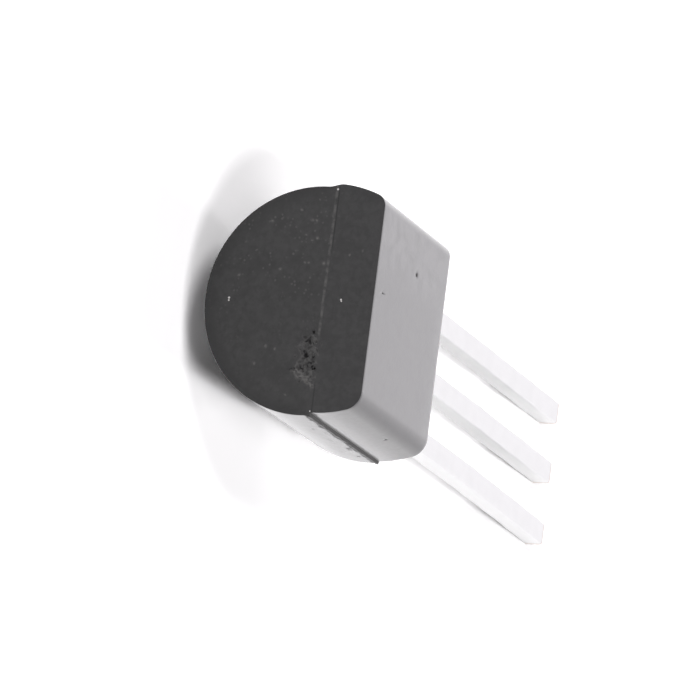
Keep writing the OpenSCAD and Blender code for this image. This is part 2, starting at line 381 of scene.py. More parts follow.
def flash_relief(z, y, skin):
    """How far the broken flash stands out of the skin: reach * (mean + waves), never below a tenth."""
    rise = smooth_step(z, -FLASH_THICK - LEDGE_SOFT, -FLASH_THICK + LEDGE_SOFT)
    band = rise * (1 - smooth_step(z, -LEDGE_SOFT, LEDGE_SOFT))
    height = FLASH_MEAN + 0.12 * waves(y, 0 * y, 0.3, seed=3) + 0.08 * waves(y, 0 * y, 0.14, seed=5)
    edge = PARTING_HALF + FLASH_REACH * np.clip(height, FLASH_LEAST, 1)
    return band * np.maximum(edge - skin, 0)


def swell_relief(angle, z, y):
    """Swelling of the front half beside the parting line, on the +x side only. It grows along y,
    soon at first and then slowly, and fades away from the line."""
    height = (SWELL * smooth_step(y, 0, SWELL_START) + SWELL_GROWTH * y) * (np.cos(angle) > 0)
    return height * smooth_step(z, -LEDGE_SOFT, LEDGE_SOFT) * (1 - smooth_step(z, 0, SWELL_WIDTH))


# %% [markdown]
# ## The side: ejector's mark, bubbles and torn skin
#
# The ejector pin pushed the body out of the mould, and left a flat on the crest of the round back. A
# few air bubbles opened as pits in the skin. The flash tore the skin beside it too, which shows in
# its colour only. All marks of the side change the same distance, so they simply add up.

# %% Ejector's mark, bubbles and the whole side
EJECTOR_R = 0.75
EJECTOR_RIM = 0.03
EJECTOR_DEPTH = 0.08
# Only rays that point lower than this slope can reach the mark.
CREST_RAY = -0.5
BUBBLE_DEPTH = 0.015
BUBBLE_R = 0.016
# Bubbles on the flat were drawn out along y by the flow.
FLAT_STRETCH = 2.2
TEAR_WIDTH = 1.75
TEAR_RAGGED = 0.25
TEAR_SOFT = 0.015
print(f"ejector mark {EJECTOR_R} mm in radius, {len(BUBBLES)} bubbles")


def ejector_relief(angle, y, skin):
    """Depth of the ejector's mark: down to a plane just below the crest, inside the pin's circle."""
    level = np.sin(angle)
    distance = np.hypot(skin * np.cos(angle), y - BODY_HEIGHT / 2)
    mark = 1 - smooth_step(distance, EJECTOR_R - EJECTOR_RIM, EJECTOR_R)
    plane = BODY_R - ARC_Z - EJECTOR_DEPTH
    pressed = np.where(level < CREST_RAY, plane / np.maximum(-level, -CREST_RAY), NO_LIMIT)
    return mark * np.maximum(skin - pressed, 0)


def bubble_mask(angle, y, skin):
    """1 in the middle of each open bubble, falling off as a bell curve of the distance over the skin."""
    holes = np.zeros_like(skin)
    for place, bubble_y, size in BUBBLES:
        turn = (angle - math.radians(place) + np.pi) % (2 * np.pi) - np.pi
        stretch = FLAT_STRETCH if place > ON_FLAT else 1
        away = np.hypot(turn * skin, (y - bubble_y) / stretch)
        holes = np.maximum(holes, np.exp(-0.5 * (away / (BUBBLE_R * size)) ** 2))
    return holes


def side_relief(angle, y, skin):
    """Change of the skin's distance from the middle, and masks of its torn places and its bubbles."""
    z = skin * np.sin(angle)
    change = flash_relief(z, y, skin) + swell_relief(angle, z, y) - ejector_relief(angle, y, skin)
    tear = -FLASH_THICK * (TEAR_WIDTH + TEAR_RAGGED * waves(y, 0 * y, 0.25, seed=21))
    torn = smooth_step(z, tear - TEAR_SOFT, tear) * (1 - smooth_step(z, LEDGE_SOFT, 1.5 * LEDGE_SOFT))
    holes = bubble_mask(angle, y, skin)
    return change - BUBBLE_DEPTH * holes, torn, holes


# %% [markdown]
# ## Rings of the end faces and their rims
#
# The body's grid is made of rings of the outline. On an end face they shrink towards the middle. On a
# rim, an angle phi runs from the face to the side: the ring moves in by r (1 - cos phi) and along by
# r (1 - sin phi), a quarter circle. Where the skin leans away from its ray, a ring moves in further
# along the ray for the same edge radius, so the inset is divided by how squarely the skin faces it.
#
# Three masks go along with the points, and the epoxy reads them: torn places, holes, and pale specks
# where grains of filler lie bare.

# %% Rings of the faces and rims
EDGE_R = 0.012
# Pale specks on the closed end: x, z and relative size.
SPECKS = [(-0.6, -1.0, 1.0), (-0.95, -1.55, 0.7), (-1.1, -1.8, 0.7), (-1.25, -0.3, 1.0), (-1.2, -0.4, 0.7),
          (-1.55, -1.3, 1.0), (-1.8, -0.7, 0.8), (-1.6, -0.45, 1.0), (-1.6, -0.36, 0.9), (-1.3, -0.55, 0.7),
          (-0.75, -0.5, 0.8), (-0.75, -0.42, 0.7), (-0.75, -0.1, 1.2), (0.95, -1.1, 1.0), (1.0, -0.9, 0.9),
          (1.3, -1.3, 1.0), (1.9, -0.55, 0.7), (-0.95, 0.4, 0.8), (-1.05, 0.65, 0.7), (-0.45, -1.85, 0.9)]
SPECK_R = 0.016
SPECK_PALE = 0.25
RIDGE_PALE = 0.24

lean = np.gradient(reach, np.unwrap(angles, period=2 * np.pi), edge_order=2)
facing = np.clip(reach / np.hypot(reach, lean), 0.5, 1)
inset = EDGE_R / facing
print(f"inset at the rims {inset.min():.3f} to {inset.max():.3f} mm, {len(SPECKS)} pale specks")


def face_grid(shares):
    """x and z of an end face's rings, at the given shares of its size."""
    distance = shares[:, None] * (reach - inset)
    return distance * np.cos(angles), distance * np.sin(angles)


def closed_end_rings(shares):
    """Rings of the closed end, with its relief and masks."""
    x, z = face_grid(shares)
    depth, torn, holes, ridge = closed_end_relief(x, z)
    pale = np.maximum(RIDGE_PALE * ridge, SPECK_PALE * scattered(x, z, SPECKS, SPECK_R))
    return np.stack([x, drafted(z) + depth, z], axis=-1), torn, holes, pale


def base_rings(shares):
    """Rings of the plain base."""
    x, z = face_grid(shares)
    blank = np.zeros_like(x)
    return np.stack([x, BODY_HEIGHT - drafted(z), z], axis=-1), blank, blank, blank


def rim_rings(phi, at_base):
    """Rings round one rim, a quarter circle from the face (phi = 90 degrees) to the side (0)."""
    skin = reach[None]
    change, torn, _ = side_relief(angles[None], 0 * skin + BODY_HEIGHT * at_base, skin)
    distance = reach + change - inset * (1 - np.cos(phi))[:, None]
    x, z = distance * np.cos(angles), distance * np.sin(angles)
    step = drafted(z) + EDGE_R * (1 - np.sin(phi))[:, None]
    y = BODY_HEIGHT - step if at_base else step
    blank = np.zeros_like(x)
    return np.stack([x, y, z], axis=-1), blank + torn, blank, blank


# %% [markdown]
# ## The moulded body
#
# The grid runs from the middle of the closed end, out to its rim, round a tiny edge radius, along the
# side, over the rim of the base and in to its middle. So one sheet covers the body without a seam.
# Most of its rings lie on the closed end, which carries the gate's scar and the parting line.

# %% Rings of the side, and the whole body
TOP_RINGS = 100
RIM_RINGS = 5
SIDE_RINGS = 50
BASE_RINGS = 10


def side_shares():
    """Even steps along the side, with finer ones at the larger bubbles."""
    large = np.array([bubble_y for _, bubble_y, size in BUBBLES if size > 1])
    near = large[:, None] + BUBBLE_R * np.linspace(-5, 5, 11)
    return np.unique(np.concatenate([np.linspace(0, 1, SIDE_RINGS + 1)[1:-1], near.ravel() / BODY_HEIGHT]))


def side_rings(shares):
    """Rings along the side, from rim to rim."""
    start = drafted(section_z) + EDGE_R
    y = start + shares[:, None] * (BODY_HEIGHT - 2 * start)
    change, torn, holes = side_relief(angles[None] + 0 * y, y, reach[None] + 0 * y)
    distance = reach + change
    points = np.stack([distance * np.cos(angles), y, distance * np.sin(angles)], axis=-1)
    return points, torn, holes, np.zeros_like(y)


to_side = np.radians(np.linspace(90, 0, RIM_RINGS + 1))[1:]
parts = [closed_end_rings(np.linspace(0, 1, TOP_RINGS + 1)[1:]),
         rim_rings(to_side, False),
         side_rings(side_shares()),
         rim_rings(to_side[::-1], True),
         base_rings(np.linspace(1, 0, BASE_RINGS + 1)[:-1])]
rings, torn, holes, pale = (np.concatenate(columns) for columns in zip(*parts))
body = tube_mesh("moulded_body", rings, {"torn": torn, "holes": holes, "pale": pale})
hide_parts("case")
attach(body, "root")

# %% [markdown]
# ## The leads
#
# All three leads were stamped from one sheet. Each is a ribbon of even thickness whose left and right
# edges wander: a plate inside the body, a shoulder with half-round notches that key into the epoxy, a
# stub on each side where the tie bar was cut away, and the slim lead itself. So the outline is two
# edge functions of y. They have few corners, with straight lines between them.

# %% Edges of a lead
collector = package_points("collector_lead")
TIP_Y = collector[:, 1].max()
TIP_ZONE = 0.2
LEAD_WIDTH = 2 * np.abs(collector[collector[:, 1] > TIP_Y - TIP_ZONE, 0]).max()
outer = package_points("base_lead")
LEAD_PITCH = outer[outer[:, 1] > TIP_Y - TIP_ZONE, 0].mean()
SHOULDER_WIDTH = 0.62
SHOULDER_END = BODY_HEIGHT + 1.5
STUB_REACH = 0.06
STUB_LENGTH = 0.35
PLATE_CHAMFER = 0.12
# The plate ends at least this far before the base, and corners this near to its left edge are on it.
PLATE_CLEAR, PLATE_NEAR = 1, 0.01
NOTCH_R = 0.11
NOTCH_Y = BODY_HEIGHT - 0.7
STEP = 0.02
EVEN_STATIONS = 90
NOTCH_STATIONS = 13
WOBBLE = 0.003
# Handling has bent the leads a little: how far each tip stands off its straight line, in x.
SPLAY = {"collector_lead": 0.07, "emitter_lead": 0.04, "base_lead": 0.13}
print(f"leads {LEAD_WIDTH:.3f} x {LEAD_THICK:.3f} mm at {LEAD_PITCH:.3f} mm, tips at {TIP_Y:.2f}")


def plate_extent(solid):
    """Top, bottom, left and right of the plate that a lead carries inside the body."""
    points = package_points(solid)
    plate = points[points[:, 1] < BODY_HEIGHT / 2]
    left = plate[:, 0].min()
    at_left = points[(points[:, 0] < left + PLATE_NEAR) & (points[:, 1] < BODY_HEIGHT - PLATE_CLEAR)]
    return plate[:, 1].min(), at_left[:, 1].max() + PLATE_CHAMFER, left, plate[:, 0].max()


def lead_edges(solid, centre):
    """Stations along a lead, and the x of its left and right edge at each of them. An edge is straight
    between its breaks, minus a half circle at the notch, plus the bend that both edges share."""
    top, bottom, plate_left, plate_right = plate_extent(solid)
    half, slim, stub = SHOULDER_WIDTH / 2, LEAD_WIDTH / 2, SHOULDER_WIDTH / 2 + STUB_REACH
    stub_start = SHOULDER_END - STUB_LENGTH
    breaks = [top, top + PLATE_CHAMFER, bottom - PLATE_CHAMFER, bottom, bottom + STEP,
              stub_start, stub_start + STEP, SHOULDER_END, SHOULDER_END + STEP, TIP_Y]
    chamfer = [PLATE_CHAMFER, 0, 0, PLATE_CHAMFER]
    below = [half, half, stub, stub, slim, slim]
    left = [plate_left + c for c in chamfer] + [centre - w for w in below]
    right = [plate_right - c for c in chamfer] + [centre + w for w in below]
    notch = NOTCH_Y + NOTCH_R * np.linspace(-1, 1, NOTCH_STATIONS)
    even = np.linspace(top, TIP_Y, EVEN_STATIONS)
    y = np.unique(np.round(np.concatenate([breaks, notch, even]), 5))
    bite = np.sqrt(np.maximum(NOTCH_R**2 - (y - NOTCH_Y) ** 2, 0))
    bend = WOBBLE * waves(y, 0 * y, 1.1, seed=31) * (y > BODY_HEIGHT)
    bend += SPLAY[solid] * np.clip((y - SHOULDER_END) / (TIP_Y - SHOULDER_END), 0, 1) ** 2
    return y, np.interp(y, breaks, left) + bite + bend, np.interp(y, breaks, right) - bite + bend


# %% [markdown]
# ## The section of a lead
#
# A punch rolls over the front corners of what it cuts, and leaves the rear ones nearly sharp. So the
# section is a rectangle with two larger and two smaller round corners. A Bevel modifier could round
# them too, but a section in closed form needs no cleaning up at the notches and stubs.

# %% Section and mesh of a lead
PUNCH_R = 0.045
BURR_R = 0.015
CORNER_STEPS = 4
RUN_STEPS = 4
TIP_BEVEL = 0.1
CUT_FADE = 0.02
TIP_SCALE = 0.9
SHARP_FROM = math.radians(40)


def ribbon_section(left, right):
    """Rounded rectangle between two edges: x and z for each station, in columns round the section.
    A corner is its centre + r (cos t, sin t), and straight runs with a few points join the corners."""
    side = np.array([1, -1, -1, 1])[:, None]
    radius = np.array([PUNCH_R, PUNCH_R, BURR_R, BURR_R])[:, None]
    centre_z = np.array([-PUNCH_R, -PUNCH_R, BURR_R - LEAD_THICK, BURR_R - LEAD_THICK])[:, None]
    turn = np.radians(90 * np.arange(4)[:, None] + np.linspace(0, 90, CORNER_STEPS + 1))
    edge = np.where(side > 0, right[:, None, None], left[:, None, None])
    x = edge - side * radius + radius * np.cos(turn)
    z = centre_z + radius * np.sin(turn) + 0 * edge
    share = np.arange(1, RUN_STEPS) / RUN_STEPS

    def with_runs(corner):
        start, end = corner[:, :, -1:], np.roll(corner[:, :, :1], -1, axis=1)
        run = start * (1 - share) + end * share
        return np.concatenate([corner, run], axis=2).reshape(len(left), -1)

    return with_runs(x), with_runs(z)


def lead(name, solid, centre):
    """One whole lead: the ribbon, cropped at its tip so that the front edge is bevelled."""
    y, left, right = lead_edges(solid, centre)
    x, z = ribbon_section(left, right)
    y = y[:, None] + 0 * x
    cut = smooth_step(y, TIP_Y - CUT_FADE, TIP_Y)
    y = np.minimum(y, TIP_Y - np.maximum(z + TIP_BEVEL, 0))
    grid = np.stack([x, y, z], axis=-1)
    tip = grid[-1:].copy()
    tip[..., 0] = (tip[..., 0] - centre) * TIP_SCALE + centre
    tip[..., 2] = (tip[..., 2] + LEAD_THICK / 2) * TIP_SCALE - LEAD_THICK / 2
    grid = np.concatenate([grid, tip])
    cut = np.concatenate([cut, np.ones_like(cut[:1])])
    piece = tube_mesh(name, grid, {"cut": cut})
    piece.data.set_sharp_from_angle(angle=SHARP_FROM)
    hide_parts(solid)
    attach(piece, "root")
    return piece


leads = [lead("centre_lead", "collector_lead", 0.0),
         lead("left_lead", "emitter_lead", -LEAD_PITCH),
         lead("right_lead", "base_lead", LEAD_PITCH)]

# %% [markdown]
# ## Finishes
#
# A finish is a tree of nodes. It could be drawn by hand in the shader editor. In code, a few helpers
# keep it short: each makes one node, links what it is given, and returns its output. Nodes are laid
# out in columns, in the order in which they are made, so the tree still reads from left to right.

# %% Helpers for node trees
# Columns start this far left of the shader, counted in columns.
FIRST_COLUMN = -20
ROWS = 6
COLUMN_WIDTH, ROW_HEIGHT = 220, 260


def node(tree, kind, **settings):
    """A new node with the settings given, in the next free place of the canvas."""
    column, row = divmod(len(tree.nodes), ROWS)
    made = tree.nodes.new(kind)
    made.location = ((FIRST_COLUMN + column) * COLUMN_WIDTH, -row * ROW_HEIGHT)
    for name, value in settings.items():
        setattr(made, name, value)
    return made


def put(tree, socket, value):
    """Give an input a value: another node's output, a number, a vector or a colour."""
    if isinstance(value, bpy.types.NodeSocket):
        tree.links.new(value, socket)
    else:
        socket.default_value = value


def math_node(tree, operation, a, b=None, clamp=False):
    """The result of a Math node."""
    made = node(tree, "ShaderNodeMath", operation=operation, use_clamp=clamp)
    put(tree, made.inputs[0], a)
    if b is not None:
        put(tree, made.inputs[1], b)
    return made.outputs[0]


def product(tree, first, *others):
    """All values multiplied together."""
    result = first
    for value in others:
        result = math_node(tree, "MULTIPLY", result, value)
    return result


def larger(tree, a, b):
    """The larger of two values."""
    return math_node(tree, "MAXIMUM", a, b)


def distance_from(tree, value, place):
    """How far a value lies from a place, on either side."""
    return math_node(tree, "ABSOLUTE", math_node(tree, "SUBTRACT", value, place))


# %% [markdown]
# ## Ramps and blends
#
# Most of a finish is masks and what they blend. A mask is a ramp: a value that rises smoothly from 0
# to 1 between two limits, which a Map Range node gives. A blend then takes one value or colour where
# the mask is 0 and another where it is 1.

# %% Ramps and blends
def ramp(tree, value, low, high, start=0.0, end=1.0):
    """A smooth step of a value between low and high, from start to end."""
    made = node(tree, "ShaderNodeMapRange", clamp=True, interpolation_type="SMOOTHSTEP")
    for label, number in (("Value", value), ("From Min", low), ("From Max", high),
                          ("To Min", start), ("To Max", end)):
        put(tree, made.inputs[label], number)
    return made.outputs["Result"]


def blend_value(tree, factor, a, b):
    """Value a where the factor is 0, and b where it is 1."""
    made = node(tree, "ShaderNodeMapRange", clamp=True)
    for label, number in (("Value", factor), ("To Min", a), ("To Max", b)):
        put(tree, made.inputs[label], number)
    return made.outputs["Result"]


def grey(value):
    """A neutral colour."""
    return (value, value, value)


def blend_colour(tree, factor, a, b):
    """Colour a where the factor is 0, and colour b where it is 1."""
    made = node(tree, "ShaderNodeMix", data_type="RGBA")
    put(tree, made.inputs["Factor"], factor)
    colours = [socket for socket in made.inputs if socket.type == "RGBA"]
    for socket, value in zip(colours, (a, b)):
        put(tree, socket, value + (1.0,) if isinstance(value, tuple) else value)
    return next(socket for socket in made.outputs if socket.type == "RGBA")


# %% [markdown]
# ## Shared effects
#
# An effect that several finishes share is a node group with named sockets: it takes a vector and
# sizes, and gives back a mask. Grain is for mottle, haze and paper fibre, dots for flecks and tiny
# bubbles, specks for single grains, and streaks for rolled metal. The shader stays in each material.

# %% Helpers for node groups
def group(name, inputs, output):
    """An empty node group. Inputs are names and defaults, where None stands for a vector."""
    tree = bpy.data.node_groups.new(name, "ShaderNodeTree")
    for label, default in inputs.items():
        kind = "NodeSocketVector" if default is None else "NodeSocketFloat"
        socket = tree.interface.new_socket(label, in_out="INPUT", socket_type=kind)
        if default is not None:
            socket.default_value = default
    tree.interface.new_socket(output, in_out="OUTPUT", socket_type="NodeSocketFloat")
    return tree, node(tree, "NodeGroupInput").outputs


def finish_group(tree, result):
    """Link the result to the group's one output."""
    put(tree, node(tree, "NodeGroupOutput").inputs[0], result)
    print(f"{tree.name}: {len(tree.nodes)} nodes")
    return tree


def use_group(tree, shared, **values):
    """The mask of a shared group, with the values given for its sockets."""
    made = node(tree, "ShaderNodeGroup", node_tree=shared)
    for label, value in values.items():
        put(tree, made.inputs[label.capitalize()], value)
    return made.outputs[0]


# %% [markdown]
# ## Grain, dots, specks and streaks
#
# Noise gives grain, and stretched along one axis it gives streaks. A Voronoi pattern gives every
# cell a point and a random colour, so its distance makes a dot and its colour picks which dots
# show. A speck is the distance from one place.

# %% The four shared effects
def grain_group():
    """Speckle of one size: noise stretched so that only its peaks or its whole range shows."""
    tree, given = group("grain", {"Vector": None, "Size": 0.1, "Low": 0.4, "High": 0.6, "Detail": 4.0},
                        "Mask")
    noise = node(tree, "ShaderNodeTexNoise")
    put(tree, noise.inputs["Vector"], given["Vector"])
    put(tree, noise.inputs["Scale"], math_node(tree, "DIVIDE", 1.0, given["Size"]))
    put(tree, noise.inputs["Detail"], given["Detail"])
    return finish_group(tree, ramp(tree, noise.outputs["Fac"], given["Low"], given["High"]))


def dots_group():
    """Scattered dots: 1 near some points of a Voronoi pattern, picked by their cell's random colour."""
    tree, given = group("dots", {"Vector": None, "Spacing": 0.2, "Radius": 0.1, "Share": 0.3}, "Mask")
    cells = node(tree, "ShaderNodeTexVoronoi", feature="F1")
    put(tree, cells.inputs["Vector"], given["Vector"])
    put(tree, cells.inputs["Scale"], math_node(tree, "DIVIDE", 1.0, given["Spacing"]))
    away = math_node(tree, "DIVIDE", cells.outputs["Distance"], given["Radius"])
    near = math_node(tree, "SUBTRACT", 1.6, away, clamp=True)
    chance = node(tree, "ShaderNodeSeparateColor")
    put(tree, chance.inputs["Color"], cells.outputs["Color"])
    chosen = math_node(tree, "LESS_THAN", chance.outputs["Red"], given["Share"])
    return finish_group(tree, product(tree, near, chosen))


def speck_group():
    """One small grain at a place: 1 within its radius, with a soft edge."""
    tree, given = group("speck", {"Vector": None, "Spot": None, "Radius": 0.03}, "Mask")
    away = node(tree, "ShaderNodeVectorMath", operation="DISTANCE")
    put(tree, away.inputs[0], given["Vector"])
    put(tree, away.inputs[1], given["Spot"])
    share = math_node(tree, "DIVIDE", away.outputs["Value"], given["Radius"])
    return finish_group(tree, ramp(tree, share, 0.6, 1.3, 1.0, 0.0))


def streak_group():
    """Fine lines drawn out along y, as rolling and plating leave them."""
    tree, given = group("streaks", {"Vector": None, "Across": 0.02, "Along": 1.0}, "Value")
    across = math_node(tree, "DIVIDE", 1.0, given["Across"])
    along = math_node(tree, "DIVIDE", 1.0, given["Along"])
    rates = node(tree, "ShaderNodeCombineXYZ")
    for axis, rate in (("X", across), ("Y", along), ("Z", across)):
        put(tree, rates.inputs[axis], rate)
    stretch = node(tree, "ShaderNodeVectorMath", operation="MULTIPLY")
    put(tree, stretch.inputs[0], given["Vector"])
    put(tree, stretch.inputs[1], rates.outputs["Vector"])
    noise = node(tree, "ShaderNodeTexNoise")
    put(tree, noise.inputs["Scale"], 1.0)
    put(tree, noise.inputs["Detail"], 3.0)
    put(tree, noise.inputs["Vector"], stretch.outputs["Vector"])
    return finish_group(tree, noise.outputs["Fac"])


GRAIN = grain_group()
DOTS = dots_group()
STREAKS = streak_group()
SPECK = speck_group()

# %% [markdown]
# ## Reading the package's place in a material
#
# Patterns are laid out in the package's own millimetres, like the shapes. A Mapping node of the kind
# Texture takes object coordinates there: it undoes the shift, the turn and the scale.

# %% A new material
BUMP_DISTANCE = 0.003 * MM


def new_material(name):
    """A material with a Principled shader, and the package's own millimetres as a vector."""
    material = bpy.data.materials.new(name)
    material.use_nodes = True
    tree = material.node_tree
    coordinates = node(tree, "ShaderNodeTexCoord")
    turn = node(tree, "ShaderNodeMapping", vector_type="TEXTURE")
    put(tree, turn.inputs["Location"], ORIGIN_M)
    put(tree, turn.inputs["Rotation"], Matrix(AXES.T.tolist()).to_euler())
    put(tree, turn.inputs["Scale"], (MM, MM, MM))
    put(tree, turn.inputs["Vector"], coordinates.outputs["Object"])
    return material, tree, tree.nodes["Principled BSDF"], turn.outputs["Vector"]


def attribute(tree, name):
    """The value of one of a mesh's own masks."""
    return node(tree, "ShaderNodeAttribute", attribute_name=name).outputs["Fac"]


def add_bump(tree, shader, height, strength):
    """Fine relief on the surface's normal."""
    bump = node(tree, "ShaderNodeBump")
    put(tree, bump.inputs["Strength"], strength)
    put(tree, bump.inputs["Distance"], BUMP_DISTANCE)
    put(tree, bump.inputs["Height"], height)
    put(tree, shader.inputs["Normal"], bump.outputs["Normal"])


# %% [markdown]
# ### Black moulding epoxy: the skin
#
# The compound is mostly ground silica in a resin blackened with carbon. Where it filled the mould it
# has a thin resin skin, almost black, with faint mottle and duller clouds. A few grains of filler
# show in it as pale flecks. Each step below blends one more layer of colour over the last by a mask,
# so that any of them can be changed alone. Values are linear, so 0.02 is a very dark grey.

# %% Layers of the skin
RESIN_DARK, RESIN_PALE = grey(0.0125), grey(0.0215)
RESIN_FINE, RESIN_CLOUD = grey(0.025), grey(0.0115)
FLECK_COLOUR = (0.047, 0.046, 0.045)
# Painted shade: the colour that the rear rim of the closed end is darkened towards.
PAINTED_RIM_SHADE_COLOUR = grey(0.005)
SEAM_COLOUR = (0.055, 0.054, 0.053)
# Painted shade: the near-black colour of holes, pinholes and the groove by the parting line.
PAINTED_RECESS_SHADE = grey(0.002)
RIM_FADE = 0.4
SEAM_Z, GROOVE_Z = -0.012, 0.035


def resin_skin(tree, vector, x, z, mottle, fine):
    """Plain resin: mottle, a finer grain, duller clouds, and flecks that come in clusters and thin
    out towards +x and towards the flat."""
    colour = blend_colour(tree, mottle, RESIN_DARK, RESIN_PALE)
    colour = blend_colour(tree, product(tree, fine, 0.3), colour, RESIN_FINE)
    cloud = use_group(tree, GRAIN, vector=vector, size=0.42, low=0.45, high=0.68, detail=3.0)
    colour = blend_colour(tree, product(tree, cloud, 0.55), colour, RESIN_CLOUD)
    fleck = use_group(tree, DOTS, vector=vector, spacing=0.078, radius=0.26, share=0.5)
    cluster = use_group(tree, GRAIN, vector=vector, size=0.45, low=0.46, high=0.6, detail=2.0)
    flecks = product(tree, fleck, cluster, ramp(tree, x, -1.4, 1.2, 1.0, 0.15),
                     ramp(tree, z, -0.4, 0.3, 1.0, 0.15))
    return blend_colour(tree, flecks, colour, FLECK_COLOUR)


def painted_rim_shade(tree, x, z, on_end, colour):
    """Painted shade: darker skin on the closed end, towards the rim of its rear half."""
    flattened = node(tree, "ShaderNodeCombineXYZ")
    put(tree, flattened.inputs["X"], x)
    put(tree, flattened.inputs["Z"], z)
    from_axis = node(tree, "ShaderNodeVectorMath", operation="DISTANCE")
    put(tree, from_axis.inputs[0], flattened.outputs["Vector"])
    put(tree, from_axis.inputs[1], (0, 0, ARC_Z))
    near_rim = ramp(tree, from_axis.outputs["Value"], BODY_R - RIM_FADE, BODY_R - 0.02, 0.0, 0.6)
    in_rear = ramp(tree, z, -RIM_FADE, 0.0, 1.0, 0.0)
    return blend_colour(tree, product(tree, near_rim, in_rear, on_end), colour, PAINTED_RIM_SHADE_COLOUR)


def parting_line(tree, vector, x, z, on_end, colour):
    """The parting line on the closed end: a pale broken seam, and painted shade of a groove beside its ends.
    """
    breaks = use_group(tree, GRAIN, vector=vector, size=0.16, low=0.35, high=0.65)
    seam = ramp(tree, distance_from(tree, z, SEAM_Z), 0.01, 0.04, 1.0, 0.0)
    before_gate = ramp(tree, x, 0.6, 0.9, 1.0, 0.0)
    colour = blend_colour(tree, product(tree, seam, on_end, breaks, before_gate), colour, SEAM_COLOUR)
    # painted shade: a dark line standing in for the shade of a groove
    groove = ramp(tree, distance_from(tree, z, GROOVE_Z), 0.002, 0.02, 0.8, 0.0)
    at_ends = larger(tree, ramp(tree, x, -1.3, -0.9, 1.0, 0.0), ramp(tree, x, 1.5, 1.75))
    return blend_colour(tree, product(tree, groove, at_ends, on_end), colour, PAINTED_RECESS_SHADE)


# %% [markdown]
# ### Black moulding epoxy: torn places
#
# Where the epoxy broke, at the gate and along the flash, the filler lies bare, so it is rougher and greyer,
# and its holes get painted shade, a near-black colour. The masks that the mesh carries say where, because
# the colour has to follow the shape exactly. Pinholes too small for the mesh are dots with the same shade.

# %% Layers of torn places
TORN_DARK, TORN_PALE = grey(0.016), (0.05, 0.049, 0.048)
TORN_SIDE = (0.055, 0.054, 0.053)
FILLER_COLOUR = (0.28, 0.27, 0.26)
GRAIN_COLOUR = (0.42, 0.41, 0.4)
# Single bare grains, each with its place and radius: two pairs on the closed end, and two at its rim.
BARE_GRAINS = [((0.02, 0.14, -2.0), 0.022), ((0.07, 0.14, -2.0), 0.017), ((-0.05, 0.02, 0.34), 0.019),
               ((-0.02, 0.02, 0.35), 0.015), ((-2.24, 0.0, 0.0), 0.02), ((2.2, 0.0, 0.0), 0.014)]


def pinholes(tree, vector, y, z):
    """Tiny open bubbles behind the flash, away from the closed end."""
    dots = use_group(tree, DOTS, vector=vector, spacing=0.19, radius=0.24, share=0.4)
    behind_flash = product(tree, ramp(tree, z, -0.55, -0.3), ramp(tree, z, -0.1, -0.06, 1.0, 0.0))
    return product(tree, dots, behind_flash, ramp(tree, y, 0.5, 1.2))


def torn_places(tree, vector, mottle, on_end, torn, holes, colour):
    """Bare filler where the skin is torn, painted shade in its holes, and pale grains."""
    bare = blend_colour(tree, mottle, TORN_DARK, TORN_PALE)
    bare = blend_colour(tree, on_end, TORN_SIDE, bare)
    colour = blend_colour(tree, ramp(tree, torn, 0.0, 0.35), colour, bare)
    # painted shade: holes and pinholes take a near-black colour
    colour = blend_colour(tree, ramp(tree, holes, 0.25, 1.0), colour, PAINTED_RECESS_SHADE)
    colour = blend_colour(tree, attribute(tree, "pale"), colour, FILLER_COLOUR)
    for spot, radius in BARE_GRAINS:
        grain = use_group(tree, SPECK, vector=vector, spot=spot, radius=radius)
        colour = blend_colour(tree, grain, colour, GRAIN_COLOUR)
    return colour


# %% [markdown]
# ### Black moulding epoxy: gloss
#
# The skin is satin. Seen straight on it is nearly matt, and at a low angle it shines. A clear coat
# does this, whose weight rises with the Facing output of Layer Weight. The round sides and the folds
# beside the flat shine less than the flat itself, which handling has polished in places. Torn epoxy
# hardly shines at all.

# %% Weight of the coat
GLOSS_FROM, GLOSS_TO = 0.55, 0.72
SIDE_GLOSS, FOLD_GLOSS, TORN_GLOSS = 0.52, 0.77, 0.15
PLAIN_GLOSS, POLISHED_GLOSS = 0.92, 1.14


def skin_gloss(tree, vector, x, y, z, broken):
    """Weight of the clear coat: it rises at low angles, and differs from place to place."""
    grazing = node(tree, "ShaderNodeLayerWeight").outputs["Facing"]
    on_sides = product(tree, ramp(tree, z, 0.1, 0.6), ramp(tree, z, 0.75, 0.96, 1.0, 0.0))
    in_fold = product(tree, ramp(tree, z, 0.74, 0.84), ramp(tree, z, 0.88, 0.965, 1.0, 0.0))
    haze = use_group(tree, GRAIN, vector=vector, size=0.3, low=0.3, high=0.7)
    handled = larger(tree, ramp(tree, x, -1.6, -0.3, 1.0, 0.0), ramp(tree, y, 3.9, 4.5))
    polished = product(tree, handled, ramp(tree, z, 0.9, 0.96), haze)
    gloss = product(tree, ramp(tree, grazing, GLOSS_FROM, GLOSS_TO),
                    blend_value(tree, on_sides, 1.0, SIDE_GLOSS),
                    blend_value(tree, in_fold, 1.0, FOLD_GLOSS),
                    blend_value(tree, polished, PLAIN_GLOSS, POLISHED_GLOSS))
    return math_node(tree, "MULTIPLY", gloss, ramp(tree, broken, 0.0, 0.5, 1.0, TORN_GLOSS), clamp=True)


# %% [markdown]
# ### Black moulding epoxy: the whole material
#
# The layers come together here. A little sheen stands for the dusty look that filled epoxy has under
# soft light, and a fine bump keeps highlights from looking polished.

